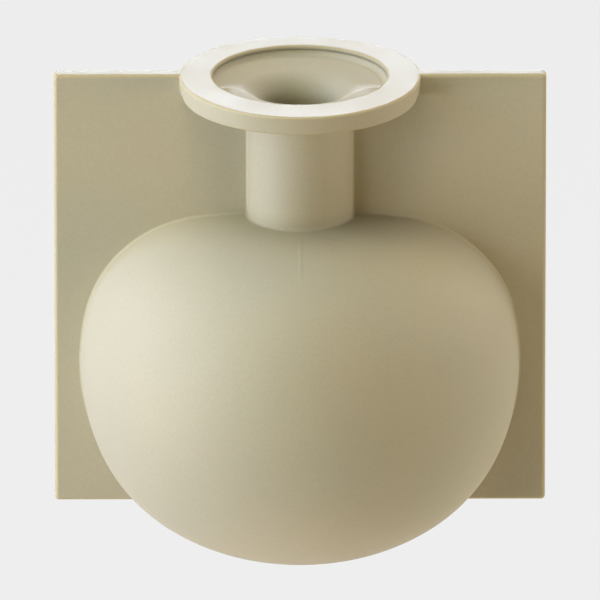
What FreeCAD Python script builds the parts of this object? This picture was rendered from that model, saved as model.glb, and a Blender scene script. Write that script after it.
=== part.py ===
import FreeCAD, Part
import math
import os
import Sketcher

# Hanging wall vase: a flask with a wide collar, set into a flat square plate.
# The wall is the plane Y = 0 and the front faces -Y. The origin lies on the wall,
# midway between the two screws that the vase hangs from.
# Pieces on the vase's axis have their own origin on that axis, level with the rim.

doc = FreeCAD.newDocument("hanging_wall_vase")
sheet = doc.addObject("Spreadsheet::Sheet", "Sizes")
V = FreeCAD.Vector
row_number = 0


def size(alias, value):
    """Write one named value, a plain number or a formula, into the sheet."""
    global row_number
    row_number += 1
    sheet.set(f"A{row_number}", alias)
    sheet.set(f"B{row_number}", str(value))
    sheet.setAlias(f"B{row_number}", alias)


# Sizes that can be set one by one, in millimetres and degrees
SIZES = {
    # Collar, a flat ring that lies level with the plate's top edge
    "mouth_radius": 35.6,
    "rim_width": 13.4,
    "rim_taper": 1.2,
    "rim_depth": 9.0,
    "rim_edge": 1.0,

    # Funnel inside the collar
    "lip_depth": 3.8,
    "dish_fall": 1.7,
    "roll_radius": 11.0,
    "bore_radius": 14.4,

    # Neck
    "neck_radius": 21.25,

    # Belly, seen in section: one arc round the equator, two above it and two below
    "belly_radius": 89.2,
    "equator_depth": 123.4,
    "side_radius": 92.3,
    "upper_side_angle": 14.4,
    "shoulder_radius": 52.3,
    "shoulder_angle": 81.0,
    "crown_radius": 156.5,
    "lower_side_angle": 20.8,
    "haunch_radius": 67.4,
    "haunch_angle": 53.3,
    "base_radius": 86.1,
    "foot_radius": 32.0,
    "belly_wall": 5.0,

    # Plate
    "plate_margin": 10.8,
    "plate_height": 184.4,
    "plate_thickness": 6.4,
    "plate_edge": 1.6,

    # Flat back, which closes the belly against the wall
    "wall_offset": 50.6,
    "back_thickness": 6.0,

    # Wall screws and the keyholes that drop over them
    "screw_spacing": 70.0,
    "screw_rise": 30.0,
    "shank_radius": 1.8,
    "thread_radius": 2.0,
    "head_radius": 4.2,
    "head_height": 2.8,
    "head_crown": 1.0,
    "drive_slot_width": 1.2,
    "drive_slot_depth": 1.4,
    "screw_reach": 30.0,
    "tip_length": 4.0,
    "tip_radius": 0.6,
    "lift_travel": 9.0,
    "pocket_wall": 3.0,

    # Clearances
    "slip_gap": 0.05,
    "slot_gap": 0.3,
    "entry_gap": 1.0,
    "head_gap": 0.5,
    "overrun": 5.0,
}
for alias_name, plain_number in SIZES.items():
    size(alias_name, plain_number)

# Places worked out from the sizes above
PLACES = {
    # Collar and the notch that it sits in
    "rim_radius": "mouth_radius + rim_width",
    "rim_foot_radius": "rim_radius - rim_taper",
    "rim_top_inset_r": "rim_radius - rim_edge",
    "rim_foot_inset_r": "rim_foot_radius - rim_edge",
    "rim_foot_level": "rim_depth - rim_edge",
    "mouth_inset_r": "mouth_radius + rim_edge",
    "seat_rim_r": "rim_radius + slip_gap",
    "seat_rim_foot_r": "rim_foot_radius + slip_gap",
    "seat_rim_level": "rim_depth + slip_gap",
    "plate_half": "belly_radius + plate_margin",

    # Funnel and neck
    "funnel_radius": "mouth_radius - slip_gap",
    "roll_top": "lip_depth + dish_fall",
    "roll_start_radius": "bore_radius + roll_radius",
    "roll_end": "roll_top + roll_radius",
    "roll_split_drop": "roll_end - rim_depth",
    "roll_split_radius": "roll_start_radius - sqrt(roll_radius ^ 2 - roll_split_drop ^ 2)",
    "neck_hole_radius": "neck_radius + slip_gap",

    # Levels and cuts
    "rim_level": "equator_depth - screw_rise",
    "back_front": "wall_offset - back_thickness",
    "cut_reach": "belly_radius + overrun",

    # Keyholes and the pockets behind them
    "screw_x": "screw_spacing / 2",
    "slot_radius": "shank_radius + slot_gap",
    "slot_outer_x": "screw_x + slot_radius",
    "slot_inner_x": "screw_x - slot_radius",
    "entry_radius": "head_radius + entry_gap",
    "keyhole_seat_z": "screw_rise - equator_depth",
    "keyhole_entry_z": "keyhole_seat_z - lift_travel",
    "pocket_half": "head_radius + entry_gap",
    "pocket_depth": "head_gap + head_height + head_gap",
    "pocket_outer_half": "pocket_half + pocket_wall",
    "pocket_outer_depth": "pocket_depth + pocket_wall",
    "pocket_low": "lift_travel + pocket_half",
    "pocket_outer_low": "pocket_low + pocket_wall",

    # Screws, measured along their own axis from the wall's face
    "under_head": "back_thickness + head_gap",
    "head_top": "under_head + head_height",
    "head_shoulder": "head_top - head_crown",
    "head_crown_radius": "(head_radius ^ 2 + head_crown ^ 2) / (2 * head_crown)",
    "drive_half": "drive_slot_width / 2",
    "drive_start": "head_top + overrun",
    "drive_floor": "head_top - drive_slot_depth",
    "thread_end": "screw_reach - tip_length",
}
for alias_name, expression in PLACES.items():
    size(alias_name, f"={expression}")


def belly_arc_centres():
    """Centres of the belly's tangent arcs, radius then height, from the equator outwards."""
    size("side_r", "=belly_radius - side_radius")
    size("side_z", "=-equator_depth")
    for sign, angle, outer, far_angle, last in (
        ("+", "upper_side_angle", "shoulder", "shoulder_angle", "crown"),
        ("-", "lower_side_angle", "haunch", "haunch_angle", "base"),
    ):
        turn = f"(side_radius - {outer}_radius)"
        size(f"{outer}_r", f"=side_r + {turn} * cos({angle} * 1deg)")
        size(f"{outer}_z", f"=side_z {sign} {turn} * sin({angle} * 1deg)")
        turn = f"({outer}_radius - {last}_radius)"
        size(f"{last}_r", f"={outer}_r + {turn} * cos({far_angle} * 1deg)")
        size(f"{last}_z", f"={outer}_z {sign} {turn} * sin({far_angle} * 1deg)")


def belly_points(skin, offset):
    """Joints between the belly's arcs on one skin, offset outwards from the glazed surface."""
    for arc in ("side", "shoulder", "crown", "haunch", "base"):
        size(f"{skin}_{arc}_radius", f"={arc}_radius {offset}")
    for joint, arc, sign, angle in (
        ("top_joint", "side", "+", "upper_side_angle"),
        ("crown_joint", "shoulder", "+", "shoulder_angle"),
        ("low_joint", "side", "-", "lower_side_angle"),
        ("base_joint", "haunch", "-", "haunch_angle"),
    ):
        reach = f"{skin}_{arc}_radius"
        size(f"{skin}_{joint}_r", f"={arc}_r + {reach} * cos({angle} * 1deg)")
        size(f"{skin}_{joint}_z", f"={arc}_z {sign} {reach} * sin({angle} * 1deg)")


def crown_height(alias, skin, radius):
    """Height of one skin's crown arc at a radius from the axis."""
    size(alias, f"=crown_z + sqrt({skin}_crown_radius ^ 2 - ({radius} - crown_r) ^ 2)")


belly_arc_centres()
for skin_name, skin_offset in (("glaze", "+ 0"), ("inner", "- belly_wall"), ("seat", "+ slip_gap")):
    belly_points(skin_name, skin_offset)
crown_height("neck_foot", "glaze", "neck_hole_radius")
crown_height("neck_end", "inner", "neck_hole_radius")
crown_height("seat_neck_foot", "seat", "neck_hole_radius")
size("foot_z", "=base_z - sqrt(glaze_base_radius ^ 2 - (foot_radius - base_r) ^ 2)")
size("floor_z", "=foot_z + belly_wall")
size("floor_r", "=base_r + sqrt(inner_base_radius ^ 2 - (floor_z - base_z) ^ 2)")
size("seat_foot_r", "=base_r + sqrt(seat_base_radius ^ 2 - (foot_z - base_z) ^ 2)")
doc.recompute()


def read(name):
    """Value of a named cell; a leading minus turns its sign and 0 is the origin."""
    if name == "0":
        return 0.0
    if name.startswith("-"):
        return -float(sheet.get(name[1:]))
    return float(sheet.get(name))


def formula(name):
    return f"-Sizes.{name[1:]}" if name.startswith("-") else f"Sizes.{name}"


def plane(body, role):
    return next(f for f in body.Origin.OriginFeatures if f.Role == role)


def pin(sketch, geometry, corner, name, kind):
    """Hold one coordinate of a corner at a named value, measured from the origin."""
    if name == "0":
        axis_line = -2 if kind == "DistanceX" else -1
        sketch.addConstraint(Sketcher.Constraint("PointOnObject", geometry, corner, axis_line))
        return
    index = sketch.addConstraint(Sketcher.Constraint(kind, -1, 1, geometry, corner, read(name)))
    sketch.setExpression(f"Constraints[{index}]", formula(name))


def outline(body, label, role, corners):
    """Closed sketch through named corners.

    Each corner is (across, up) or, where an arc leads on to the next corner,
    (across, up, radius name, "left" or "right"): the side that the arc bulges to,
    looking along the outline.
    """
    sketch = body.newObject("Sketcher::SketchObject", label)
    sketch.AttachmentSupport = [(plane(body, role), "")]
    sketch.MapMode = "FlatFace"
    points = [V(read(c[0]), read(c[1]), 0) for c in corners]
    ends = []
    for i, corner in enumerate(corners):
        a, b = points[i], points[(i + 1) % len(points)]
        if len(corner) == 2:
            g = sketch.addGeometry(Part.LineSegment(a, b), False)
            ends.append((g, 1, 2))
            continue
        radius = read(corner[2])
        chord = b - a
        left = V(-chord.y, chord.x, 0).normalize()
        bulge = left if corner[3] == "left" else left * -1
        sag = math.sqrt(max(radius ** 2 - (chord.Length / 2) ** 2, 0))
        centre = (a + b) * 0.5 - bulge * sag
        circle = Part.Circle(centre, V(0, 0, 1), radius)
        turns_left = corner[3] == "right"
        first, last = (a, b) if turns_left else (b, a)
        start = math.atan2(first.y - centre.y, first.x - centre.x)
        stop = math.atan2(last.y - centre.y, last.x - centre.x)
        g = sketch.addGeometry(Part.ArcOfCircle(circle, start, stop), False)
        ends.append((g, 1, 2) if turns_left else (g, 2, 1))
    for i, corner in enumerate(corners):
        g, first, last = ends[i]
        after, after_first, _ = ends[(i + 1) % len(ends)]
        sketch.addConstraint(Sketcher.Constraint("Coincident", g, last, after, after_first))
    for i, corner in enumerate(corners):
        g, first, _ = ends[i]
        pin(sketch, g, first, corner[0], "DistanceX")
        pin(sketch, g, first, corner[1], "DistanceY")
        if len(corner) > 2:
            index = sketch.addConstraint(Sketcher.Constraint("Radius", g, read(corner[2])))
            sketch.setExpression(f"Constraints[{index}]", formula(corner[2]))
    return sketch


def rectangle(body, label, role, low_x, high_x, low_y, high_y):
    return outline(body, label, role,
                   [(low_x, low_y), (high_x, low_y), (high_x, high_y), (low_x, high_y)])


def new_body(label, x="0", y="0", z="0"):
    """Empty body whose origin stands at a named place."""
    body = doc.addObject("PartDesign::Body", label)
    body.Label = label
    for axis, name in (("x", x), ("y", y), ("z", z)):
        if name != "0":
            body.setExpression(f"Placement.Base.{axis}", formula(name))
    return body


def vase_body(label):
    return new_body(label, y="-wall_offset", z="rim_level")


def turn(body, kind, sketch):
    """Revolve a sketch once round the body's own Z axis, adding or cutting."""
    feature = body.newObject(f"PartDesign::{kind}", f"{sketch.Name}_turned")
    feature.Profile = sketch
    feature.ReferenceAxis = (sketch, ["V_Axis"])
    feature.Angle = 360.0
    return feature


def push(body, kind, sketch, length, reverse=False):
    """Pad or pocket a sketch to a named length, square to its plane."""
    feature = body.newObject(f"PartDesign::{kind}", f"{sketch.Name}_pushed")
    feature.Profile = sketch
    feature.Reversed = reverse
    feature.setExpression("Length", formula(length))
    return feature


def cut_through(body, sketch):
    """Pocket that runs right through the body, both ways from the sketch."""
    feature = body.newObject("PartDesign::Pocket", f"{sketch.Name}_cut")
    feature.Profile = sketch
    feature.Type = "ThroughAll"
    feature.SideType = "Symmetric"
    return feature


def belly_outside(skin, foot_r, shoulder_z, first_r):
    """Corners down one skin of the belly, from the neck to the foot."""
    return [
        (first_r, shoulder_z, f"{skin}_crown_radius", "left"),
        (f"{skin}_crown_joint_r", f"{skin}_crown_joint_z", f"{skin}_shoulder_radius", "left"),
        (f"{skin}_top_joint_r", f"{skin}_top_joint_z", f"{skin}_side_radius", "left"),
        (f"{skin}_low_joint_r", f"{skin}_low_joint_z", f"{skin}_haunch_radius", "left"),
        (f"{skin}_base_joint_r", f"{skin}_base_joint_z", f"{skin}_base_radius", "left"),
        (foot_r, "foot_z"),
    ]


def make_rim_ring():
    """Flat collar with eased edges; its outside tapers a little towards the neck."""
    body = vase_body("rim_ring")
    section = outline(body, "rim_section", "XZ_Plane", [
        ("mouth_inset_r", "0"),
        ("rim_top_inset_r", "0", "rim_edge", "left"),
        ("rim_radius", "-rim_edge"),
        ("rim_foot_radius", "-rim_foot_level", "rim_edge", "left"),
        ("rim_foot_inset_r", "-rim_depth"),
        ("mouth_radius", "-rim_depth"),
        ("mouth_radius", "-rim_edge", "rim_edge", "left"),
    ])
    turn(body, "Revolution", section)
    return body


def make_mouth_funnel():
    """Dish inside the collar, with the upper part of the roll into the bore."""
    body = vase_body("mouth_funnel")
    section = outline(body, "funnel_section", "XZ_Plane", [
        ("roll_start_radius", "-roll_top"),
        ("funnel_radius", "-lip_depth"),
        ("funnel_radius", "-rim_depth"),
        ("roll_split_radius", "-rim_depth", "roll_radius", "left"),
    ])
    turn(body, "Revolution", section)
    return body


def make_neck_tube():
    """Straight neck that carries the roll on into the bore and is let into the belly's crown."""
    body = vase_body("neck_tube")
    section = outline(body, "neck_section", "XZ_Plane", [
        ("bore_radius", "-roll_end", "roll_radius", "left"),
        ("roll_split_radius", "-rim_depth"),
        ("neck_radius", "-rim_depth"),
        ("neck_radius", "neck_end"),
        ("bore_radius", "neck_end"),
    ])
    turn(body, "Revolution", section)
    return body


def make_belly_shell():
    """Hollow belly of one wall thickness, sliced flat where the back closes it."""
    body = vase_body("belly_shell")
    section = outline(body, "belly_section", "XZ_Plane",
                      belly_outside("glaze", "foot_radius", "neck_foot", "neck_hole_radius") + [
                          ("0", "foot_z"),
                          ("0", "floor_z"),
                          ("floor_r", "floor_z", "inner_base_radius", "right"),
                          ("inner_base_joint_r", "inner_base_joint_z",
                           "inner_haunch_radius", "right"),
                          ("inner_low_joint_r", "inner_low_joint_z",
                           "inner_side_radius", "right"),
                          ("inner_top_joint_r", "inner_top_joint_z",
                           "inner_shoulder_radius", "right"),
                          ("inner_crown_joint_r", "inner_crown_joint_z",
                           "inner_crown_radius", "right"),
                          ("neck_hole_radius", "neck_end"),
                      ])
    turn(body, "Revolution", section)
    slice_plan = rectangle(body, "belly_slice", "XY_Plane",
                           "-cut_reach", "cut_reach", "back_front", "cut_reach")
    cut_through(body, slice_plan)
    return body


def make_back_slab():
    """Flat back: the belly's own outline, with a keyhole through it for each screw."""
    body = vase_body("back_slab")
    section = outline(body, "slab_section", "XZ_Plane",
                      belly_outside("glaze", "foot_radius", "neck_foot", "neck_hole_radius") + [
                          ("0", "foot_z"),
                          ("0", "neck_foot"),
                      ])
    turn(body, "Revolution", section)
    front = rectangle(body, "slab_front", "XY_Plane",
                      "-cut_reach", "cut_reach", "-cut_reach", "back_front")
    cut_through(body, front)
    rear = rectangle(body, "slab_rear", "XY_Plane",
                     "-cut_reach", "cut_reach", "wall_offset", "cut_reach")
    cut_through(body, rear)
    for side, sign in (("left", "-"), ("right", "")):
        low_x, high_x = ("-slot_outer_x", "-slot_inner_x") if sign else ("slot_inner_x", "slot_outer_x")
        cut_through(body, keyhole_circle(body, f"{side}_entry", sign, "keyhole_entry_z",
                                         "entry_radius"))
        cut_through(body, keyhole_circle(body, f"{side}_seat", sign, "keyhole_seat_z",
                                         "slot_radius"))
        cut_through(body, rectangle(body, f"{side}_slot", "XZ_Plane", low_x, high_x,
                                    "keyhole_entry_z", "keyhole_seat_z"))
    return body


def keyhole_circle(body, label, sign, up, radius):
    """Circle over one screw, at a named height of the slab."""
    sketch = body.newObject("Sketcher::SketchObject", label)
    sketch.AttachmentSupport = [(plane(body, "XZ_Plane"), "")]
    sketch.MapMode = "FlatFace"
    centre = V(read(f"{sign}screw_x"), read(up), 0)
    g = sketch.addGeometry(Part.Circle(centre, V(0, 0, 1), read(radius)), False)
    pin(sketch, g, 3, f"{sign}screw_x", "DistanceX")
    pin(sketch, g, 3, up, "DistanceY")
    index = sketch.addConstraint(Sketcher.Constraint("Radius", g, read(radius)))
    sketch.setExpression(f"Constraints[{index}]", formula(radius))
    return sketch


def make_hanger_pocket(side, sign):
    """Blind cup behind one keyhole, which keeps the screw head out of the water."""
    body = new_body(f"hanger_pocket_{side}", f"{sign}screw_x", "-back_thickness", "0")
    outer = rectangle(body, f"{side}_cup", "XZ_Plane", "-pocket_outer_half",
                      "pocket_outer_half", "-pocket_outer_low", "pocket_outer_half")
    push(body, "Pad", outer, "pocket_outer_depth")
    hollow = rectangle(body, f"{side}_cup_hollow", "XZ_Plane", "-pocket_half",
                       "pocket_half", "-pocket_low", "pocket_half")
    push(body, "Pocket", hollow, "pocket_depth", reverse=True)
    return body


def make_plate_wing(side, sign):
    """Half of the square plate, cut to fit round the collar, neck and belly."""
    body = vase_body(f"plate_wing_{side}")
    low, high = ("0", "plate_half") if sign == "" else ("-plate_half", "0")
    blank = rectangle(body, f"{side}_wing_blank", "XZ_Plane", low, high, "-plate_height", "0")
    slab = push(body, "Pad", blank, "plate_thickness", reverse=True)
    eased = body.newObject("PartDesign::Fillet", f"{side}_wing_edges")
    eased.Base = (slab, ["Edge1"])
    eased.UseAllEdges = True
    eased.setExpression("Radius", formula("plate_edge"))
    body.Tip = eased
    notch = outline(body, f"{side}_wing_notch", "XZ_Plane", [
        ("0", "overrun"),
        ("seat_rim_r", "overrun"),
        ("seat_rim_r", "-rim_edge"),
        ("seat_rim_foot_r", "-seat_rim_level"),
        ("neck_hole_radius", "-seat_rim_level"),
    ] + belly_outside("seat", "seat_foot_r", "seat_neck_foot", "neck_hole_radius") + [
        ("0", "foot_z"),
    ])
    turn(body, "Groove", notch)
    return body


def make_wall_screw(side, sign):
    """Pan-head screw, its own Z axis into the wall: a plain shank, then the thread from the wall in."""
    body = new_body(f"wall_screw_{side}")
    body.Placement = FreeCAD.Placement(V(), FreeCAD.Rotation(V(1, 0, 0), -90))
    body.setExpression("Placement.Base.x", formula(f"{sign}screw_x"))
    section = outline(body, f"{side}_screw_section", "XZ_Plane", [
        ("0", "-head_top", "head_crown_radius", "right"),
        ("head_radius", "-head_shoulder"),
        ("head_radius", "-under_head"),
        ("shank_radius", "-under_head"),
        ("shank_radius", "0"),
        ("thread_radius", "0"),
        ("thread_radius", "thread_end"),
        ("tip_radius", "screw_reach"),
        ("0", "screw_reach"),
    ])
    turn(body, "Revolution", section)
    slot = rectangle(body, f"{side}_drive_slot", "XZ_Plane",
                     "-drive_half", "drive_half", "-drive_start", "-drive_floor")
    cut_through(body, slot)
    return body


pieces = [make_rim_ring(), make_mouth_funnel(), make_neck_tube(), make_belly_shell(),
          make_back_slab()]
for side_name, side_sign in (("left", "-"), ("right", "")):
    pieces.append(make_plate_wing(side_name, side_sign))
    pieces.append(make_hanger_pocket(side_name, side_sign))
    pieces.append(make_wall_screw(side_name, side_sign))
doc.recompute()

# Nothing is written unless every object is sound
for item in doc.Objects:
    if "Invalid" in item.State or "Error" in item.State:
        raise RuntimeError(f"{item.Label} failed: {item.State}")
for piece in pieces:
    if piece.Shape.isNull() or not piece.Shape.isValid() or piece.Shape.Volume <= 0:
        raise RuntimeError(f"{piece.Label} has no sound shape")

os.makedirs("parts", exist_ok=True)
for piece in pieces:
    piece.Shape.exportStep(f"parts/{piece.Label}.step")
    box = piece.Shape.BoundBox
    print(f"{piece.Label}: {len(piece.Shape.Solids)} solid, {piece.Shape.Volume:.1f} mm3, "
          f"X {box.XMin:.1f}..{box.XMax:.1f} Y {box.YMin:.1f}..{box.YMax:.1f} "
          f"Z {box.ZMin:.1f}..{box.ZMax:.1f}")
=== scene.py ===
import bpy
import bmesh
import math
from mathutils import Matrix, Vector

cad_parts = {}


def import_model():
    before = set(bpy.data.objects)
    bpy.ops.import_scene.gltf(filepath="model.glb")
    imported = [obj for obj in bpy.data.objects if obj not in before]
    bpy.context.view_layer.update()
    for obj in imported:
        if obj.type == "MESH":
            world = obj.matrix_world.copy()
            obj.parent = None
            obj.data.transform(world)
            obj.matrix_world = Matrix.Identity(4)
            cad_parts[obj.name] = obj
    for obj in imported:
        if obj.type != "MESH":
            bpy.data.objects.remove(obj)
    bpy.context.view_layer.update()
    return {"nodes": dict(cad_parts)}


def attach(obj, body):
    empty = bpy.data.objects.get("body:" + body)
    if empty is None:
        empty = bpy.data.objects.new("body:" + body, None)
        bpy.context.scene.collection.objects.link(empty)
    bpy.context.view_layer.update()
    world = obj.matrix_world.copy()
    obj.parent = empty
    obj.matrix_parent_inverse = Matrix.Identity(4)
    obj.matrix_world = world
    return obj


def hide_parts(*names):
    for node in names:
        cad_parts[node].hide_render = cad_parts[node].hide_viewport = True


# Hanging wall vase in satin glaze. Lengths are millimetres in the vase's own frame, x across,
# y back from the vase's axis and z up from the rim, unless a name ends in _M for metres.
# A pair such as SHOULDER belongs to an arc of the belly. It gives the angle from level at which the
# arc meets the one nearer the belly's widest part, in degrees, and then the arc's radius.

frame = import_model()

MM = 0.001
# The vase's axis stands this far in front of the wall, and its rim this far above the screws
AXIS_BACK = 50.6
RIM_LEVEL = 93.4

# Collar
MOUTH_R = 35.6
RIM_R = 49.0
RIM_FOOT_R = 47.8
RIM_DEPTH = 9.0
RIM_EDGE = 1.0
# Drop of the collar's top at its front and back edges
RIM_FALL = 0.9
# Levels of the rows on the collar's inner wall, between its foot and its eased top edge
INNER_WALL_LEVELS = (-5.0, -3.0)

# Mouth: a shallow dish from the collar's wall in, which rolls over into the throat
LIP_DEPTH = 3.9
DISH_ANGLE = 8.0
ROLL_R = 11.0
BORE_R = 14.4
LIP_COVE = 2.2
# How far the dish's hidden edge rises in the collar's wall, and the throat's rows lie below the roll
LIP_TUCK = 0.6
THROAT_DROPS = (1.0, 2.2)
BORE_LEVELS = (-18.0, -30.0, -45.0, -66.0)

# Bank of thick glaze on the near side of the dish: its inner edge as (x, distance in front)
BANK_EDGE = [(35.3, 5.0), (32.5, 5.0), (30.0, 5.0), (28.2, 5.1), (26.5, 5.6), (25.3, 6.6), (24.4, 7.9),
             (22.4, 10.25), (20.35, 12.97), (18.3, 16.0), (16.3, 18.6), (14.2, 20.7), (11.0, 22.8),
             (7.0, 24.3), (3.5, 24.9), (0.0, 25.1)]
BANK_FALL = -0.16
BANK_ROUND = 0.5
BANK_DROP = 2.4
# How far the bank runs into the collar's wall, and how far its foot spreads and its normals lean up
BANK_TUCK = 0.2
BANK_SPREAD = 0.3
BANK_FOOT_LEAN = 0.1
# Beyond this distance from the middle, the bank's inner edge faces straight back
BANK_ENDS = 30.0

# Neck and belly
NECK_R = 21.25
# Steps (out, up) by which the neck's two coves run on into the collar and into the belly
NECK_LEAD_IN = (0.3, 0.1)
NECK_LEAD_OUT = (0.4, -0.12)
BELLY_R = 89.2
EQUATOR_Z = -123.4
SIDE_R = 92.3
SHOULDER = (14.4, 52.3)
CROWN = (81.0, 156.5)
HAUNCH = (20.8, 67.4)
BASE = (53.3, 86.1)
FOOT_R = 32.0
WALL = 5.0
# The inside starts this many degrees above level and draws in by a little step at its floor
INSIDE_START = 89.0
INSIDE_FLOOR_STEP = 1.2
# Depths of the plane where belly and back meet, of the wall, and of the back's rows between them
CUT_Y = 44.6
WALL_Y = 50.6
BACK_ROWS_Y = (45.8, 47.2, 48.4)

# Plate
PLATE_HALF = 100.0
PLATE_H = 184.4
PLATE_T = 6.4
PLATE_EDGE = 1.6
# Heights over which the plate's coves fade out at its top and bottom edges, the share at which they
# end, and the share by which their radius stays above the fade
COVE_FADE_TOP = 3.0
COVE_FADE_LOW = 3.5
COVE_END_SHARE = 0.02
COVE_EXTRA_SHARE = 0.03
# The plate meets the collar from this far above the end of its eased top edge
COLLAR_CONTACT = 0.2
# Distance from the middle at which the plate's eased edge starts, inside the collar, and the length
# by which it runs on into the belly
EDGE_START = 48.05
EDGE_TUCK = 5.0

# Thin glaze on the arrises: the lean of the surface and the reach from the plate's edge
ARRIS_LEAN = 0.15
ARRIS_REACH = 2.0

# Glaze fillets where the pieces meet
NECK_COVE = 1.4
PLATE_COVE = 1.0
BACK_EDGE = 1.4
# Depth to which a cove's hidden side is sunk into its neighbour
SUNK = 0.25
# Points nearer than this are taken as one
SAME_POINT = 1e-4

# Wall screws and keyholes
SCREW_X = 35.0
KEY_SEAT_Z = -RIM_LEVEL
LIFT = 9.0
SLOT_R = 2.1
ENTRY_R = 5.2

# Lengths of the faces along each kind of surface
EDGE_STEP = 0.18
COVE_STEP = 0.35
FLAT_STEP = 3.0
DISH_STEP = 0.2
ROLL_STEP = 0.45
BELLY_STEP = 1.6
BACK_STEP = 0.8
# Turns in degrees of the faces round the plate's corners and along its eased edge
PLATE_TURNS = [15 * i for i in range(7)]
# Radii of the rows on the collar's flat underside, where the plate meets it
UNDER_RADII = (44.0, 40.0, 36.0, 32.0, 28.0, 25.0)
# Faces round a turned piece, round the belly, round its inside and round half of the flat back
TURN_COUNT = 240
BELLY_COUNT = 260
INSIDE_COUNT = 160
BACK_COUNT = 200
# Rows down the collar's side, across the dish, down the neck and along the plate beside the neck
SIDE_ROWS = 6
DISH_ROWS = 14
NECK_ROWS = 12
PLATE_NECK_ROWS = 14
# Rows across the round of the bank, of a plate's cove and of the back's edge
BANK_ROWS = 7
ROUND_ROWS = 8
# Stretches round a keyhole's narrow end and round its wide end
SLOT_COUNT = 16
ENTRY_COUNT = 40


def world(x, y, z):
    """A point of the vase's own frame in metres."""
    return Vector((x * MM, (y - AXIS_BACK) * MM, (z + RIM_LEVEL) * MM))


# Profile of the skin

def arc(centre, radius, start, stop, step, inward=False):
    """Points (r, z, normal r, normal z) along an arc; angles in degrees above level."""
    count = max(3, math.ceil(abs(math.radians(stop - start)) * radius / step))
    points = []
    for i in range(count + 1):
        a = math.radians(start + (stop - start) * i / count)
        c, s = math.cos(a), math.sin(a)
        sign = -1 if inward else 1
        points.append((centre[0] + radius * c, centre[1] + radius * s, sign * c, sign * s))
    return points


def line(start, stop, step):
    """Points along a straight run, with the normal on its left-hand side."""
    dr, dz = stop[0] - start[0], stop[1] - start[1]
    length = math.hypot(dr, dz)
    count = max(1, math.ceil(length / step))
    n = (-dz / length, dr / length)
    return [(start[0] + dr * i / count, start[1] + dz * i / count, n[0], n[1])
            for i in range(count + 1)]


def between(start, stop, count, n_r, n_z):
    """The points inside a straight run of count even stretches, with one normal."""
    return [(start[0] + (stop[0] - start[0]) * i / count, start[1] + (stop[1] - start[1]) * i / count,
             n_r, n_z) for i in range(1, count)]


def step_centre(centre, radius, angle, next_radius):
    """Centre of the next tangent arc."""
    a = math.radians(angle)
    reach = radius - next_radius
    return (centre[0] + reach * math.cos(a), centre[1] + reach * math.sin(a))


side_c = (BELLY_R - SIDE_R, EQUATOR_Z)
shoulder_c = step_centre(side_c, SIDE_R, SHOULDER[0], SHOULDER[1])
crown_c = step_centre(shoulder_c, SHOULDER[1], CROWN[0], CROWN[1])
haunch_c = step_centre(side_c, SIDE_R, -HAUNCH[0], HAUNCH[1])
base_c = step_centre(haunch_c, HAUNCH[1], -BASE[0], BASE[1])
foot_angle = -math.degrees(math.acos((FOOT_R - base_c[0]) / BASE[1]))
FOOT_Z = base_c[1] + BASE[1] * math.sin(math.radians(foot_angle))

# Cove between the neck and the crown: a ball that touches both
cove_r = NECK_R + NECK_COVE
cove_z = crown_c[1] + math.sqrt((CROWN[1] + NECK_COVE) ** 2 - (cove_r - crown_c[0]) ** 2)
cove_turn = math.degrees(math.atan2(crown_c[1] - cove_z, crown_c[0] - cove_r)) + 360
crown_start = cove_turn - 180


def belly_skin(offset=0.0, first_angle=None, step=BELLY_STEP):
    """The belly from the crown to the foot, offset along its normal."""
    first = crown_start if first_angle is None else first_angle
    points = []
    for centre, radius, start, stop in (
        (crown_c, CROWN[1], first, CROWN[0]),
        (shoulder_c, SHOULDER[1], CROWN[0], SHOULDER[0]),
        (side_c, SIDE_R, SHOULDER[0], -HAUNCH[0]),
        (haunch_c, HAUNCH[1], -HAUNCH[0], -BASE[0]),
        (base_c, BASE[1], -BASE[0], foot_angle),
    ):
        run = arc(centre, radius + offset, start, stop, step)
        points += run if not points else run[1:]
    return points


def neck_cove():
    """From the neck out on to the crown."""
    return arc((cove_r, cove_z), NECK_COVE, 180, cove_turn, COVE_STEP, inward=True)


def collar_cove():
    """From the collar's underside down on to the neck."""
    return arc((cove_r, -RIM_DEPTH - NECK_COVE), NECK_COVE, 90, 180, COVE_STEP, inward=True)


# The collar's side leans in a little; its two edges are arcs tangent to that side
lean = math.degrees(math.atan2(RIM_R - RIM_FOOT_R, RIM_DEPTH - 2 * RIM_EDGE))
side_nr, side_nz = math.cos(math.radians(lean)), -math.sin(math.radians(lean))
side_reach = RIM_R * side_nr - RIM_EDGE * side_nz - RIM_EDGE
rim_top_c = ((side_reach + RIM_EDGE * side_nz) / side_nr, -RIM_EDGE)
rim_foot_c = ((side_reach + (RIM_DEPTH - RIM_EDGE) * side_nz) / side_nr, -RIM_DEPTH + RIM_EDGE)


def collar_outside():
    """Collar from its top round the outside to its underside."""
    top = arc(rim_top_c, RIM_EDGE, 90, -lean, EDGE_STEP)
    foot = arc(rim_foot_c, RIM_EDGE, -lean, -90, EDGE_STEP)
    return top + between(top[-1], foot[0], SIDE_ROWS, side_nr, side_nz) + foot


# Meshes with exact normals

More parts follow.
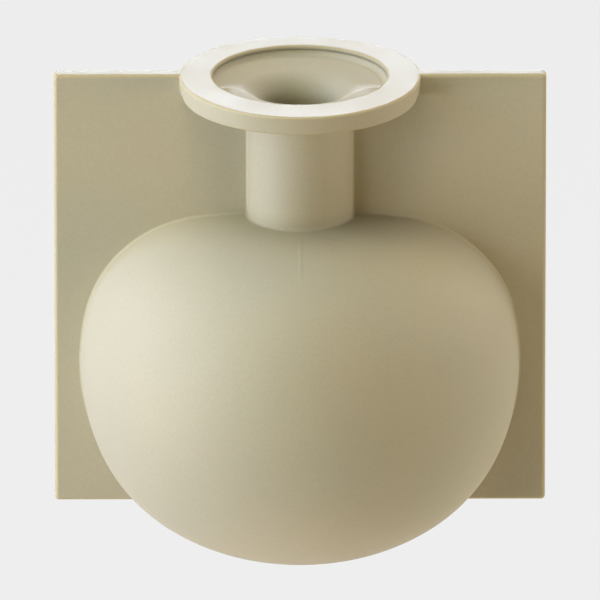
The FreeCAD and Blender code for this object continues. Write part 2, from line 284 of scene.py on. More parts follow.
class Surface:
    """Collects faces whose corners carry their own normals."""

    def __init__(self, name):
        self.name = name
        self.points = []
        self.faces = []
        self.normals = []
        self.keys = {}

    def vertex(self, p):
        """Number of the vertex at a point, which is shared by the faces that meet there."""
        key = (round(p[0], 5), round(p[1], 5), round(p[2], 5))
        if key not in self.keys:
            self.keys[key] = len(self.points)
            self.points.append(world(*p))
        return self.keys[key]

    def face(self, corners, normals):
        """One face, left out where its corners fall together."""
        ids = [self.vertex(p) for p in corners]
        kept, kept_normals = [], []
        for i, n in zip(ids, normals):
            if i not in kept:
                kept.append(i)
                kept_normals.append(n)
        if len(kept) > 2:
            self.faces.append(kept)
            self.normals += kept_normals

    def grid(self, rows, row_normals, closed=False, flip=False):
        """Quads between rows of points of equal length."""
        for r in range(len(rows) - 1):
            count = len(rows[r])
            for c in range(count if closed else count - 1):
                d = (c + 1) % count
                quad = [(r, c), (r, d), (r + 1, d), (r + 1, c)]
                if flip:
                    quad.reverse()
                self.face([rows[i][j] for i, j in quad], [row_normals[i][j] for i, j in quad])

    def turn(self, profile, flip=False, fall=None):
        """Turns a profile of (r, z, normal r, normal z) right round the vase's axis.

        fall gives the drop of a point at the cosine of its turn from the front. It is too gentle
        to turn the normals.
        """
        rows, row_normals = [], []
        for r, z, n_r, n_z in profile:
            row, row_n = [], []
            for i in range(TURN_COUNT):
                a = 2 * math.pi * i / TURN_COUNT
                s, c = math.sin(a), math.cos(a)
                drop = fall(r, z, c) if fall else 0.0
                row.append((r * s, -r * c, z - drop))
                row_n.append((n_r * s, -n_r * c, n_z))
            rows.append(row)
            row_normals.append(row_n)
        self.grid(rows, row_normals, closed=True, flip=flip)

    def build(self, slot, body, *nodes, arris=None):
        """Makes the piece, and marks its arrises where a function for them is given."""
        mesh = bpy.data.meshes.new(self.name)
        mesh.from_pydata([tuple(p) for p in self.points], [], self.faces)
        mesh.polygons.foreach_set("use_smooth", [True] * len(self.faces))
        mesh.update()
        mesh.normals_split_custom_set([Vector(n).normalized() for n in self.normals])
        if arris:
            marks = mesh.attributes.new("arris", "FLOAT", "POINT").data
            corners = [i for face in self.faces for i in face]
            for i, normal in zip(corners, self.normals):
                marks[i].value = arris(self.points[i], Vector(normal).normalized())
        piece = bpy.data.objects.new(self.name, mesh)
        bpy.context.scene.collection.objects.link(piece)
        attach(piece, body)
        if nodes:
            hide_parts(*nodes)
        return piece


def arris_share(largest):
    """0 where a normal lies along a flat face's, up to 1 where it leans between two faces."""
    return min(1.0, (1.0 - largest) / ARRIS_LEAN)


def collar_arris(_point, normal):
    """Share of thin glaze on the collar, all round."""
    return arris_share(max(math.hypot(normal.x, normal.y), abs(normal.z)))


def plate_arris(point, normal):
    """Share of thin glaze on the plate, near its outer edge only."""
    margin = ARRIS_REACH * MM
    top = RIM_LEVEL * MM
    inside = abs(point.x) < PLATE_HALF * MM - margin and top - PLATE_H * MM + margin < point.z < top - margin
    return 0.0 if inside else arris_share(max(abs(c) for c in normal))


def collar_fall(r, z, c):
    """The collar's top falls a little to its front and back edges, and is level at the plate."""
    inner_r = MOUTH_R + RIM_EDGE
    across = min(1.0, max(0.0, (r - inner_r) / (rim_top_c[0] - inner_r)))
    down = min(1.0, max(0.0, 1 + (z + RIM_EDGE) / (RIM_DEPTH - 2 * RIM_EDGE)))
    return RIM_FALL * c * c * down * across


def make_collar():
    """The wide flat collar with its eased edges."""
    s = Surface("collar_ring")
    inner = arc((MOUTH_R + RIM_EDGE, -RIM_EDGE), RIM_EDGE, 180, 90, EDGE_STEP)
    top = line((MOUTH_R + RIM_EDGE, 0), (rim_top_c[0], 0), FLAT_STEP)
    wall = [(MOUTH_R, z, -1, 0) for z in (-RIM_DEPTH, *INNER_WALL_LEVELS, -RIM_EDGE)]
    under = line((rim_foot_c[0], -RIM_DEPTH), (MOUTH_R, -RIM_DEPTH), FLAT_STEP)
    s.turn(wall + inner[1:] + top[1:] + collar_outside()[1:] + under[1:], flip=True, fall=collar_fall)
    return s.build("glaze", "vase", "rim_ring", arris=collar_arris)


def make_funnel():
    """Dish from the collar's wall in to the throat, and the flat underside out to the collar."""
    s = Surface("mouth_dish")
    slope = math.radians(DISH_ANGLE)
    roll_r = BORE_R + ROLL_R * (1 - math.sin(slope))
    roll_top = LIP_DEPTH + (MOUTH_R - roll_r) * math.tan(slope)
    roll_c = (BORE_R + ROLL_R, -roll_top - ROLL_R * math.cos(slope))
    # Cove between the collar's upright wall and the dish
    cove_level = -LIP_DEPTH + LIP_COVE / math.cos(slope) - LIP_COVE * math.tan(slope)
    cove = arc((MOUTH_R - LIP_COVE, cove_level), LIP_COVE, 0, -90 - DISH_ANGLE, DISH_STEP,
               inward=True)
    roll = arc(roll_c, ROLL_R, 90 + DISH_ANGLE, 180, ROLL_STEP)
    dish = between(cove[-1], roll[0], DISH_ROWS, -math.sin(slope), math.cos(slope))
    throat = [(BORE_R, roll_c[1] - d, -1, 0) for d in THROAT_DROPS]
    s.turn([(MOUTH_R, cove_level + LIP_TUCK, -1, 0)] + cove + dish + roll + throat)
    under = line((MOUTH_R, -RIM_DEPTH), (cove_r, -RIM_DEPTH), FLAT_STEP)
    s.turn(under, flip=True)
    make_bank(s)
    return s.build("glaze", "vase", "mouth_funnel")


def bank_inward(edge, i):
    """Level direction in which the bank's inner edge faces at one of its points."""
    x, y = edge[i]
    if abs(x) >= BANK_ENDS:
        return 0.0, 1.0
    before, after = edge[max(i - 1, 0)], edge[min(i + 1, len(edge) - 1)]
    along_x, along_y = after[0] - before[0], after[1] - before[1]
    length = math.hypot(along_x, along_y)
    in_x, in_y = -along_y / length, along_x / length
    return (-in_x, -in_y) if in_x * x + in_y * y > 0 else (in_x, in_y)


def make_bank(s):
    """Low flat bank over the near side of the dish, with an eased inner edge."""
    left = [(-x, -front) for x, front in BANK_EDGE]
    edge = left + [(-x, y) for x, y in reversed(left[:-1])]
    fall = math.atan(BANK_FALL)
    columns, column_normals = [], []
    for i, (x, y) in enumerate(edge):
        in_x, in_y = bank_inward(edge, i)
        r = math.hypot(x, y)
        reach = (MOUTH_R + BANK_TUCK) / r
        column = [(x * reach, y * reach, -LIP_DEPTH + (MOUTH_R - r) * BANK_FALL)]
        top_n = (-x / r * math.sin(fall), -y / r * math.sin(fall), math.cos(fall))
        column_n = [top_n, top_n]
        for j in range(BANK_ROWS + 1):
            t = math.radians(90 * j / BANK_ROWS)
            out, down = BANK_ROUND * math.sin(t), BANK_ROUND * (1 - math.cos(t))
            column.append((x + in_x * out, y + in_y * out, -LIP_DEPTH - down))
            if j > 0:
                column_n.append((in_x * math.sin(t), in_y * math.sin(t), math.cos(t)))
        foot = BANK_ROUND + BANK_SPREAD
        column.append((x + in_x * foot, y + in_y * foot, -LIP_DEPTH - BANK_DROP))
        column_n.append((in_x, in_y, BANK_FOOT_LEAN))
        columns.append(column)
        column_normals.append(column_n)
    s.grid(list(zip(*columns)), list(zip(*column_normals)))


def make_neck():
    """The straight neck with its coves to the collar and the belly, and its bore."""
    s = Surface("neck_and_coves")
    high, low = collar_cove(), neck_cove()
    first, last = high[0], low[-1]
    lead_in = (first[0] + NECK_LEAD_IN[0], first[1] + NECK_LEAD_IN[1], *first[2:])
    lead_out = (last[0] + NECK_LEAD_OUT[0], last[1] + NECK_LEAD_OUT[1], *last[2:])
    s.turn([lead_in] + high + neck_side(high, low, NECK_ROWS) + low + [lead_out], flip=True)
    s.turn([(BORE_R, z, -1, 0) for z in BORE_LEVELS])
    return s.build("glaze", "vase", "neck_tube")


def neck_side(high, low, count):
    """The straight neck between its two coves."""
    return between((NECK_R, high[-1][1]), (NECK_R, low[0][1]), count, 1.0, 0.0)


def half_angle(r, y):
    """Angle from the front at which a circle meets the plane at that depth."""
    return math.pi if r <= y else math.pi - math.acos(y / r)


def lobe(profile, y, count):
    """Rows round the front of a turned skin, each ending on the plane at depth y."""
    rows, normals = [], []
    for r, z, n_r, n_z in profile:
        reach = half_angle(r, y)
        row, row_n = [], []
        for i in range(count + 1):
            a = reach * (2 * i / count - 1)
            s, c = math.sin(a), math.cos(a)
            row.append((r * s, -r * c, z))
            row_n.append((n_r * s, -n_r * c, n_z))
        rows.append(row)
        normals.append(row_n)
    return rows, normals


def with_cut_row(profile, y):
    """Adds the exact rows at which the profile's radius passes the plane's depth."""
    out = []
    for a, b in zip(profile, profile[1:]):
        out.append(a)
        if (a[0] - y) * (b[0] - y) < 0:
            t = (y - a[0]) / (b[0] - a[0])
            out.append(tuple(a[i] + (b[i] - a[i]) * t for i in range(4)))
    out.append(profile[-1])
    return out


def make_belly():
    """The hollow belly in front of the cut, inside and out."""
    s = Surface("belly")
    rows, normals = lobe(with_cut_row(belly_skin(), CUT_Y), CUT_Y, BELLY_COUNT)
    s.grid(rows, normals, flip=True)
    foot = [(r, FOOT_Z, 0, -1) for r in (FOOT_R, FOOT_R / 2, 0.0)]
    rows, normals = lobe(foot, CUT_Y, BELLY_COUNT)
    s.grid(rows, normals, flip=True)
    # Inside, one wall thickness in
    inner = with_cut_row(belly_skin(-WALL, first_angle=INSIDE_START), CUT_Y)
    inner = [p for p in inner if p[1] > FOOT_Z + WALL]
    inner.append((inner[-1][0] - INSIDE_FLOOR_STEP, FOOT_Z + WALL, *inner[-1][2:]))
    rows, normals = lobe(inner, CUT_Y, INSIDE_COUNT)
    normals = [[(-n[0], -n[1], -n[2]) for n in row] for row in normals]
    s.grid(rows, normals)
    base = [(inner[-1][0], FOOT_Z + WALL, 0, 1), (0.0, FOOT_Z + WALL, 0, 1)]
    rows, normals = lobe(base, CUT_Y, INSIDE_COUNT)
    s.grid(rows, normals)
    return s.build("glaze", "vase", "belly_shell")


def slice_outline(skin, y):
    """Right half of the belly's outline at one depth: (x, z, normal x, y, z), top to bottom."""
    out = []
    for a, b in zip(skin, skin[1:]):
        if a[0] < y <= b[0] or b[0] < y <= a[0]:
            t = (y - a[0]) / (b[0] - a[0])
            p = tuple(a[i] + (b[i] - a[i]) * t for i in range(4))
            out.append((0.0, p[1], 0.0, p[2], p[3]))
        if b[0] > y:
            x = math.sqrt(b[0] ** 2 - y ** 2)
            out.append((x, b[1], b[2] * x / b[0], b[2] * y / b[0], b[3]))
    return out


def resample(outline, count):
    """Even points along an outline of (x, z, nx, ny, nz)."""
    lengths = [0.0]
    for a, b in zip(outline, outline[1:]):
        lengths.append(lengths[-1] + math.hypot(b[0] - a[0], b[1] - a[1]))
    out, j = [], 0
    for i in range(count + 1):
        target = lengths[-1] * i / count
        while j < len(outline) - 2 and lengths[j + 1] < target:
            j += 1
        t = (target - lengths[j]) / max(lengths[j + 1] - lengths[j], 1e-9)
        out.append(tuple(outline[j][k] + (outline[j + 1][k] - outline[j][k]) * t for k in range(5)))
    return out


def keyhole(sign):
    """Outline of one keyhole, anticlockwise from the front, as (x, z)."""
    cx, top, low = sign * SCREW_X, KEY_SEAT_Z, KEY_SEAT_Z - LIFT
    meet = math.asin(SLOT_R / ENTRY_R)
    outline = []
    for i in range(SLOT_COUNT + 1):
        a = math.pi * i / SLOT_COUNT
        outline.append((cx + SLOT_R * math.cos(a), top + SLOT_R * math.sin(a)))
    start = math.pi / 2 + meet
    for i in range(ENTRY_COUNT + 1):
        a = start + (2 * math.pi - 2 * meet) * i / ENTRY_COUNT
        outline.append((cx + ENTRY_R * math.cos(a), low + ENTRY_R * math.sin(a)))
    return outline


def back_rows():
    """The belly's outline carried on from the cut to the wall, with an eased edge there."""
    skin = belly_skin(step=BACK_STEP) + [(0.0, FOOT_Z, 0.0, -1.0)]
    stations = [(y, 0.0) for y in (CUT_Y, *BACK_ROWS_Y, WALL_Y - BACK_EDGE)]
    bends = [math.radians(90 * i / ROUND_ROWS) for i in range(1, ROUND_ROWS + 1)]
    stations += [(WALL_Y - BACK_EDGE, bend) for bend in bends]
    rows, normals = [], []
    for y, bend in stations:
        inset, back = BACK_EDGE * (1 - math.cos(bend)), BACK_EDGE * math.sin(bend)
        row, row_n = [], []
        for x, z, n_x, n_y, n_z in resample(slice_outline(skin, y), BACK_COUNT):
            flat = math.hypot(n_x, n_z) or 1.0
            out_x, out_z = n_x / flat, n_z / flat
            row.append((x - out_x * inset, y + back, z - out_z * inset))
            if bend == 0:
                row_n.append((n_x, n_y, n_z))
            else:
                row_n.append((out_x * math.cos(bend), math.sin(bend), out_z * math.cos(bend)))
        mirrored = [(-p[0], p[1], p[2]) for p in reversed(row[1:-1])]
        mirrored_n = [(-n[0], n[1], n[2]) for n in reversed(row_n[1:-1])]
        rows.append(row + mirrored)
        normals.append(row_n + mirrored_n)
    return rows, normals


def add_cap(s, y, facing, outline):
    """A flat face across an outline of (x, z) at depth y, pierced by the keyholes."""
    cap = bmesh.new()
    edges = []
    for loop in (outline, keyhole(-1), keyhole(1)):
        verts = [cap.verts.new((x, y, z)) for x, z in loop]
        edges += [cap.edges.new((verts[i], verts[(i + 1) % len(verts)])) for i in range(len(verts))]
    filled = bmesh.ops.triangle_fill(cap, edges=edges, use_beauty=True, use_dissolve=False)
    for f in [g for g in filled["geom"] if isinstance(g, bmesh.types.BMFace)]:
        corners = [tuple(v.co) for v in f.verts]
        if f.normal.y * facing < 0:
            corners.reverse()
        s.face(corners, [(0.0, facing, 0.0)] * len(corners))
    cap.free()


def add_keyhole_wall(s, loop):
    """The wall of one keyhole, from the cut through to the flat face."""
    outward = []
    for i in range(len(loop)):
        before, after = loop[i - 1], loop[(i + 1) % len(loop)]
        dx, dz = after[0] - before[0], after[1] - before[1]
        length = math.hypot(dx, dz)
        outward.append((-dz / length, 0.0, dx / length))
    rows = [[(x, y, z) for x, z in loop] for y in (CUT_Y, WALL_Y)]
    s.grid(rows, [outward, outward], closed=True)


def make_back():
    """Flat back with an eased edge, and the faces across its two ends with their keyholes."""
    side = Surface("flat_back")
    rows, normals = back_rows()
    side.grid(rows, normals, closed=True)
    faces = Surface("flat_back_face")
    for y, ring, facing in ((WALL_Y, rows[-1], 1.0), (CUT_Y, rows[0], -1.0)):
        add_cap(faces, y, facing, [(p[0], p[2]) for p in ring])
    for sign in (-1, 1):
        add_keyhole_wall(faces, keyhole(sign))
    return side.build("glaze", "vase", "back_slab"), faces.build("glaze", "vase", "back_slab")


def slerp(a, b, t):
    """The direction at share t of the way from a to b."""
    dot = max(-1.0, min(1.0, a.dot(b)))
    angle = math.acos(dot)
    if angle < 1e-6:
        return a.copy()
    return (a * math.sin((1 - t) * angle) + b * math.sin(t * angle)) / math.sin(angle)


def contact_skin():
    """The vase's outline where the plate meets it, from the collar's top down to the foot."""
    collar = [p for p in collar_outside() if p[1] <= -RIM_EDGE + COLLAR_CONTACT]
    under = [(r, -RIM_DEPTH, 0.0, -1.0) for r in UNDER_RADII]
    high, low = collar_cove(), neck_cove()
    return collar + under + high + neck_side(high, low, PLATE_NECK_ROWS) + low + belly_skin()[1:]


def cove_samples():
    """The contact outline with the cove's radius, which fades out near the plate's two edges."""
    low_edge, top_edge = -PLATE_H + PLATE_EDGE, -PLATE_EDGE
    samples = []
    for r, z, n_r, n_z in contact_skin():
        grow = min(1.0, (top_edge - z) / COVE_FADE_TOP, (z - low_edge) / COVE_FADE_LOW)
        if grow > COVE_END_SHARE:
            samples.append((r, z, n_r, n_z, PLATE_COVE * min(1.0, COVE_EXTRA_SHARE + grow)))
    return samples


def wing_cove(samples, plane, facing, sign):
    """Rows of the cove on one side of the plate, and the line (x, z) where it meets the flat face."""
    rows, normals, edge = [], [], []
    into_plate = Vector((0.0, -facing, 0.0))
    for r, z, n_r, n_z, rho in samples:
        r_o, z_o = r + rho * n_r, z + rho * n_z
        y_c = plane + facing * rho
        x_c = math.sqrt(max(r_o ** 2 - y_c ** 2, 0.0))
        centre = Vector((x_c, y_c, z_o))
        skin_n = Vector((n_r * x_c / r_o, n_r * y_c / r_o, n_z))
        row, row_n = [], []
        for i in range(ROUND_ROWS + 1):
            d = slerp(into_plate, -skin_n, i / ROUND_ROWS)
            p = centre + rho * d
            row.append((sign * p.x, p.y, p.z))
            row_n.append((-sign * d.x, -d.y, -d.z))
        sunk = centre - (rho + SUNK) * skin_n
        row.append((sign * sunk.x, sunk.y, sunk.z))
        row_n.append(row_n[-1])
        rows.append(row)
        normals.append(row_n)
        edge.append((x_c, z_o))
    return rows, normals, edge


def wing_edge(edges, sign):
    """Rows of the plate's eased edge, each running over the top, down the side and in below."""
    e = PLATE_EDGE
    corners = [(PLATE_HALF - e, -e, 90 - turn) for turn in PLATE_TURNS]
    corners += [(PLATE_HALF - e, -PLATE_H + e, -turn) for turn in PLATE_TURNS]
    rows, normals = [], []
    for edge, first_turn, centre_y in zip(edges, (0, 90), (e, PLATE_T - e)):
        top_start, low_end = edge[0][0], edge[-1][0]
        path = [(EDGE_START, -e, 90), (top_start, -e, 90)] + corners
        path += [(low_end, -PLATE_H + e, -90), (low_end - EDGE_TUCK, -PLATE_H + e, -90)]
        for turn in PLATE_TURNS:
            theta = math.radians(first_turn + turn)
            out = e * math.sin(theta)
            row, row_n = [], []
            for x, z, angle in path:
                c, w = math.cos(math.radians(angle)), math.sin(math.radians(angle))
                row.append((sign * (x + out * c), centre_y - e * math.cos(theta), z + out * w))
                row_n.append((sign * c * math.sin(theta), -math.cos(theta), w * math.sin(theta)))
            rows.append(row)
            normals.append(row_n)
    return rows, normals


def wing_flat(edge, plane, sign):
    """Corners of the flat face between the eased edge and the cove, without doubled points."""
    e = PLATE_EDGE
    loop = [(edge[0][0], -e), (PLATE_HALF - e, -e), (PLATE_HALF - e, -PLATE_H + e),
            (edge[-1][0], -PLATE_H + e)] + list(reversed(edge))
    points = []
    for q in loop:
        if not points or math.dist(q, points[-1]) > SAME_POINT:
            points.append(q)
    return [(sign * x, plane, z) for x, z in points]


def make_wing(sign, name):
    """Half of the plate, with a cove along the collar, neck and belly and an eased outer edge."""
    s = Surface(name)
    samples = cove_samples()
    plate_sides = ((0.0, -1.0), (PLATE_T, 1.0))
    edges, inner = [], []
    for plane, facing in plate_sides:
        rows, normals, edge = wing_cove(samples, plane, facing, sign)
        s.grid(rows, normals, flip=(facing > 0) != (sign < 0))
        edges.append(edge)
        inner.append([row[-1] for row in rows])
    # The hidden inner edge between the two coves
    front, rear = inner
    for i in range(len(front) - 1):
        s.face([front[i], front[i + 1], rear[i + 1], rear[i]], [(-sign, 0.0, 0.0)] * 4)
    rows, normals = wing_edge(edges, sign)
    s.grid(rows, normals, flip=sign < 0)
    for (plane, facing), edge in zip(plate_sides, edges):
        corners = wing_flat(edge, plane, sign)
        if (facing < 0) == (sign > 0):
            corners.reverse()
        s.face(corners, [(0.0, facing, 0.0)] * len(corners))
    return s


# Materials

# The seam and the crease in the glaze, each as (low, high, soft width) in metres
SHOULDER_HEIGHT_M = (0.0, 0.06, 0.005)
SEAM_ACROSS_M = (-0.0002, 0.0002, 0.001)
SEAM_ALONG_M = (-0.1066, -0.0866, 0.008)
CREASE_ACROSS_M = (-0.0751, -0.0747, 0.0005)
CREASE_ALONG_M = (0.006, 0.0155, 0.002)
CREASE_SLOPE = 0.348
# The crease is deeper than the seam is high
CREASE_DEPTH = 2.5
RELIEF_M = 0.00009

# Colours of the glaze, what the warm clay under it does to them on the arrises, and its flecks
GREENER = (0.455, 0.420, 0.300)
WARMER = (0.490, 0.435, 0.305)
ARRIS_TINT = (1.09, 1.0, 0.80, 1)
FLECK_SPAN = (0.975, 1.025)
FLECK_NOISE_SPAN = (0.35, 0.65)
FLECK_DEPTH_M = 0.0002
GLAZE_ROUGHNESS_SPAN = (0.54, 0.66)

# Surroundings: the grey that is seen, its share on the floor, and the room's own dim light
BACKGROUND = 0.863
PLAIN_SHARE = 0.97
FLOOR_COLOUR = (0.45, 0.43, 0.39, 1)
ROOM_GLOW = (0.01, 0.008, 0.006, 1)
FLOOR_REACH_M = 9.0
FLOOR_LEVEL_M = -0.5


def new_material(name):
    """An empty node material and its tree."""
    m = bpy.data.materials.new(name)
    m.use_nodes = True
    m.node_tree.nodes.clear()
    return m, m.node_tree


def feed(tree, value, socket):
    """Links an input to another node's output, or sets it to a plain value."""
    if isinstance(value, bpy.types.NodeSocket):
        tree.links.new(value, socket)
    else:
        socket.default_value = value


def node(tree, kind, **values):
    """A new node, with each value set on the node itself or else fed to the input of that name."""
    n = tree.nodes.new(kind)
    for key, value in values.items():
        if hasattr(n, key):
            setattr(n, key, value)
        else:
            feed(tree, value, n.inputs[key.replace("_", " ")])
    return n


def combine(t, operation, a, b):
    """Result of a sum of two values or sockets."""
    n = node(t, "ShaderNodeMath", operation=operation)
    feed(t, a, n.inputs[0])
    feed(t, b, n.inputs[1])
    return n.outputs[0]


def remap(t, value, span, from_span=(0.0, 1.0), kind="LINEAR"):
    """A value whose range is stretched from one span to another."""
    n = node(t, "ShaderNodeMapRange", interpolation_type=kind, From_Min=from_span[0],
             From_Max=from_span[1], To_Min=span[0], To_Max=span[1], Value=value)
    return n.outputs["Result"]


def noise(t, place, scale, detail, roughness):
    """Noise between 0 and 1 over the object's own space."""
    n = node(t, "ShaderNodeTexNoise", Scale=scale, Detail=detail, Roughness=roughness, Vector=place)
    return n.outputs["Fac"]


def two_tones(t, share, low, high):
    """Colour that goes from low to high over the middle of the share's range."""
    ramp = node(t, "ShaderNodeValToRGB", Fac=share)
    for stop, position, tone in zip(ramp.color_ramp.elements, (0.3, 0.7), (low, high)):
        stop.position = position
        stop.color = (*tone, 1)
    return ramp.outputs["Color"]


def multiplied(t, share, colour, factor):
    """A colour multiplied by a factor, to the given share."""
    n = node(t, "ShaderNodeMix", data_type="RGBA", blend_type="MULTIPLY", Factor=share, A=colour, B=factor)
    return n.outputs["Result"]


def bumped(t, height, strength, depth, **before):
    """Normals that follow a height, on top of the normals from before."""
    n = node(t, "ShaderNodeBump", Strength=strength, Distance=depth, Height=height, **before)
    return n.outputs["Normal"]


def mixed_shader(t, share, first, second):
    """The first shader, with the second in the given share."""
    n = node(t, "ShaderNodeMixShader", Fac=share)
    feed(t, first, n.inputs[1])
    feed(t, second, n.inputs[2])
    return n.outputs["Shader"]


def grey(level):
    """A neutral colour of that level."""
    return (level, level, level, 1)


def window(t, value, low, high, soft):
    """1 while the value is between low and high, falling to 0 over the soft width on either side."""
    rise = remap(t, value, (0.0, 1.0), (low - soft, low), "SMOOTHSTEP")
    fall = remap(t, value, (0.0, 1.0), (high + soft, high), "SMOOTHSTEP")
    return combine(t, "MULTIPLY", rise, fall)


def seam_and_crease(t, place):
    """Height of the faint upright seam on the shoulder, less the crease below the neck."""
    x, y, z = node(t, "ShaderNodeSeparateXYZ", Vector=place).outputs
    seam = combine(t, "MULTIPLY", window(t, x, *SEAM_ACROSS_M), window(t, y, *SEAM_ALONG_M))
    off_line = combine(t, "ADD", y, combine(t, "MULTIPLY", x, CREASE_SLOPE))
    crease = combine(t, "MULTIPLY", window(t, off_line, *CREASE_ACROSS_M), window(t, x, *CREASE_ALONG_M))
    relief = combine(t, "SUBTRACT", seam, combine(t, "MULTIPLY", crease, CREASE_DEPTH))
    return combine(t, "MULTIPLY", relief, window(t, z, *SHOULDER_HEIGHT_M))


def glaze_material():
    """Satin glaze with slow drift, fine flecks, thin warm arrises and the relief on the shoulder."""
    m, t = new_material("satin_glaze")
    place = node(t, "ShaderNodeTexCoord").outputs["Object"]
    # Slow drift between a greener and a warmer batch of the glaze
    drift = two_tones(t, noise(t, place, 14.0, 3.0, 0.55), GREENER, WARMER)
    # Fine flecks, as fired glaze has
    fleck = noise(t, place, 900.0, 2.0, 0.6)
    flecked = multiplied(t, 1.0, drift, remap(t, fleck, FLECK_SPAN, FLECK_NOISE_SPAN))
    # The glaze is thin on the arrises, where the warm clay shows through
    arris = node(t, "ShaderNodeAttribute", attribute_name="arris").outputs["Fac"]
    colour = multiplied(t, arris, flecked, ARRIS_TINT)
    rough = remap(t, noise(t, place, 60.0, 2.0, 0.5), GLAZE_ROUGHNESS_SPAN)
    relief = bumped(t, seam_and_crease(t, place), 1.0, RELIEF_M)
    normal = bumped(t, fleck, 0.06, FLECK_DEPTH_M, Normal=relief)
    bsdf = node(t, "ShaderNodeBsdfPrincipled", IOR=1.5, Specular_IOR_Level=0.3, Base_Color=colour,
                Roughness=rough, Normal=normal)
    node(t, "ShaderNodeOutputMaterial", Surface=bsdf.outputs["BSDF"])
    return m


def plain_material(name, colour, roughness, metallic=0.0, scale=400.0):
    """Material of one colour and roughness, both broken up by fine noise."""
    m, t = new_material(name)
    grain = noise(t, node(t, "ShaderNodeTexCoord").outputs["Object"], scale, 3.0, 0.6)
    darker = [c * 0.88 for c in colour]
    lighter = [min(1, c * 1.08) for c in colour]
    bsdf = node(t, "ShaderNodeBsdfPrincipled", Metallic=metallic,
                Base_Color=two_tones(t, grain, darker, lighter),
                Roughness=remap(t, grain, (roughness * 0.85, roughness * 1.15)))
    node(t, "ShaderNodeOutputMaterial", Surface=bsdf.outputs["BSDF"])
    return m


def plainly_seen(t):
    """1 for rays that the camera, a gloss or clear glass sees the surroundings by, else 0."""
    path = node(t, "ShaderNodeLightPath").outputs
    seen = combine(t, "MAXIMUM", path["Is Camera Ray"], path["Is Glossy Ray"])
    return combine(t, "MAXIMUM", seen, path["Is Transmission Ray"])


def stage_material():
    """Pale floor: shows almost plain to the camera, keeps a little shadow and is clear from below."""
    m, t = new_material("pale_floor")
    diffuse = node(t, "ShaderNodeBsdfDiffuse", Color=FLOOR_COLOUR).outputs["BSDF"]
    glow = node(t, "ShaderNodeEmission", Color=grey(BACKGROUND)).outputs["Emission"]
    pale = mixed_shader(t, combine(t, "MULTIPLY", plainly_seen(t), PLAIN_SHARE), diffuse, glow)
    clear = node(t, "ShaderNodeBsdfTransparent").outputs["BSDF"]
    from_below = node(t, "ShaderNodeNewGeometry").outputs["Backfacing"]
    node(t, "ShaderNodeOutputMaterial", Surface=mixed_shader(t, from_below, pale, clear))
    return m


# The object

glaze = glaze_material()
clay = plain_material("bare_clay", (0.52, 0.47, 0.37), 0.8)
zinc = plain_material("zinc_steel", (0.52, 0.52, 0.50), 0.35, metallic=1.0, scale=1500.0)

ceramic = [make_collar(), make_funnel(), make_neck(), make_belly(), *make_back()]
for wing_side, wing_sign in (("left", -1), ("right", 1)):
    wing = make_wing(wing_sign, f"plate_{wing_side}")
    ceramic.append(wing.build("glaze", "vase", f"plate_wing_{wing_side}", arris=plate_arris))
for piece in ceramic:
    piece.data.materials.clear()
    piece.data.materials.append(glaze)
for name, material in (("hanger_pocket_left", clay), ("hanger_pocket_right", clay),
                       ("wall_screw_left", zinc), ("wall_screw_right", zinc)):
    for slot in frame["nodes"][name].material_slots:
        slot.material = material

# Stage, light and camera

# Lamps: name, azimuth (0 in front, negative to the left), elevation, distance, size, watts, colour
LAMPS = [
    ("left_low", -70, -13, 1.8, 0.9, 28.4, (0.93, 0.92, 1.00)),
    ("left_middle", -70, 20, 1.8, 0.9, 8.2, (0.57, 0.77, 1.00)),
    ("left_upper", -70, 45, 1.8, 0.9, 3.4, (0.95, 1.00, 0.28)),
    ("left_back", -100, 20, 1.8, 0.9, 18.1, (0.53, 0.60, 1.00)),
    ("front_left", -45, 10, 1.8, 0.9, 10.0, (1.00, 0.99, 0.92)),
    ("front_above", -30, 70, 1.8, 0.9, 11.4, (1.00, 0.89, 0.66)),
    ("front_low", 0, -30, 1.8, 0.9, 2.0, (1.00, 1.00, 1.00)),
    ("left_above", -90, 70, 1.8, 0.9, 7.3, (0.47, 0.68, 1.00)),
    ("right_front", 60, -5, 1.8, 0.9, 9.9, (1.00, 0.77, 0.35)),
    ("right", 90, 10, 1.8, 0.9, 10.3, (0.78, 0.84, 1.00)),
    ("right_back", 120, 20, 1.8, 0.9, 6.9, (1.00, 0.91, 0.71)),
    ("below", 0, -88, 0.42, 0.4, 0.4, (1.00, 0.85, 0.66)),
    ("back_above", 180, 60, 1.8, 0.9, 8.9, (1.00, 0.79, 0.72)),
    ("back_low", 180, 14, 1.8, 0.15, 18.6, (0.70, 0.80, 1.00)),
]
LAMP_TARGET = Vector((0.0, -0.06, 0.0))

# Camera: angles in degrees as for the lamps, lens and sensor in millimetres, and the frame's width
CAMERA_TARGET = Vector((0.0, -0.0506, -0.00395))
CAMERA_AZIMUTH = -0.3
CAMERA_ELEVATION = 20.2
LENS = 1500.0
SENSOR = 36.0
FRAME_WIDE_M = 0.24426
CLIP_END_M = 100.0

scene = bpy.context.scene


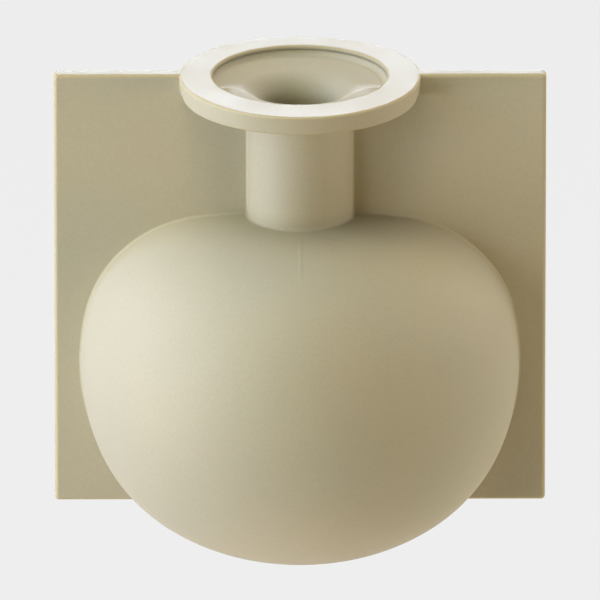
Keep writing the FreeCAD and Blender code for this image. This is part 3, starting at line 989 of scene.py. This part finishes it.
def floor_plane():
    """A wide floor well below the vase."""
    mesh = bpy.data.meshes.new("floor")
    corners = [(x * FLOOR_REACH_M, y * FLOOR_REACH_M, FLOOR_LEVEL_M)
               for x, y in ((-1, -1), (1, -1), (1, 1), (-1, 1))]
    mesh.from_pydata(corners, [], [(0, 1, 2, 3)])
    mesh.materials.append(stage_material())
    plane = bpy.data.objects.new("floor", mesh)
    scene.collection.objects.link(plane)
    return plane


def studio_world():
    """Dim light on the vase, and the background's grey wherever the surroundings are seen."""
    studio = bpy.data.worlds.new("studio")
    studio.use_nodes = True
    t = studio.node_tree
    t.nodes.clear()
    dim = node(t, "ShaderNodeBackground", Color=ROOM_GLOW).outputs["Background"]
    seen = node(t, "ShaderNodeBackground", Color=grey(BACKGROUND)).outputs["Background"]
    node(t, "ShaderNodeOutputWorld", Surface=mixed_shader(t, plainly_seen(t), dim, seen))
    return studio


def hold(name, data, target, azimuth, elevation, distance):
    """Puts a lamp or camera that far from its target, on that side, and turns it to face there."""
    a, e = math.radians(azimuth), math.radians(elevation)
    away = Vector((math.sin(a) * math.cos(e), -math.cos(a) * math.cos(e), math.sin(e)))
    holder = bpy.data.objects.new(name, data)
    scene.collection.objects.link(holder)
    holder.location = target + away * distance
    holder.rotation_euler = (-away).to_track_quat("-Z", "Y").to_euler()
    return holder


def add_lamp(name, azimuth, elevation, distance, size, watts, colour):
    """A square soft lamp that faces the vase."""
    lamp = bpy.data.lights.new(name, "AREA")
    lamp.shape = "RECTANGLE"
    lamp.size = size
    lamp.size_y = size
    lamp.energy = watts
    lamp.color = colour
    hold(name, lamp, LAMP_TARGET, azimuth, elevation, distance)


def add_camera():
    """A camera far off, with a long lens, so that upright edges stay parallel."""
    camera = bpy.data.cameras.new("camera")
    camera.lens = LENS
    camera.sensor_width = SENSOR
    camera.clip_end = CLIP_END_M
    distance = FRAME_WIDE_M * LENS / SENSOR
    return hold("camera", camera, CAMERA_TARGET, CAMERA_AZIMUTH, CAMERA_ELEVATION, distance)


floor = floor_plane()
scene.world = studio_world()
for lamp_values in LAMPS:
    add_lamp(*lamp_values)
scene.camera = add_camera()
scene.view_settings.view_transform = "Standard"
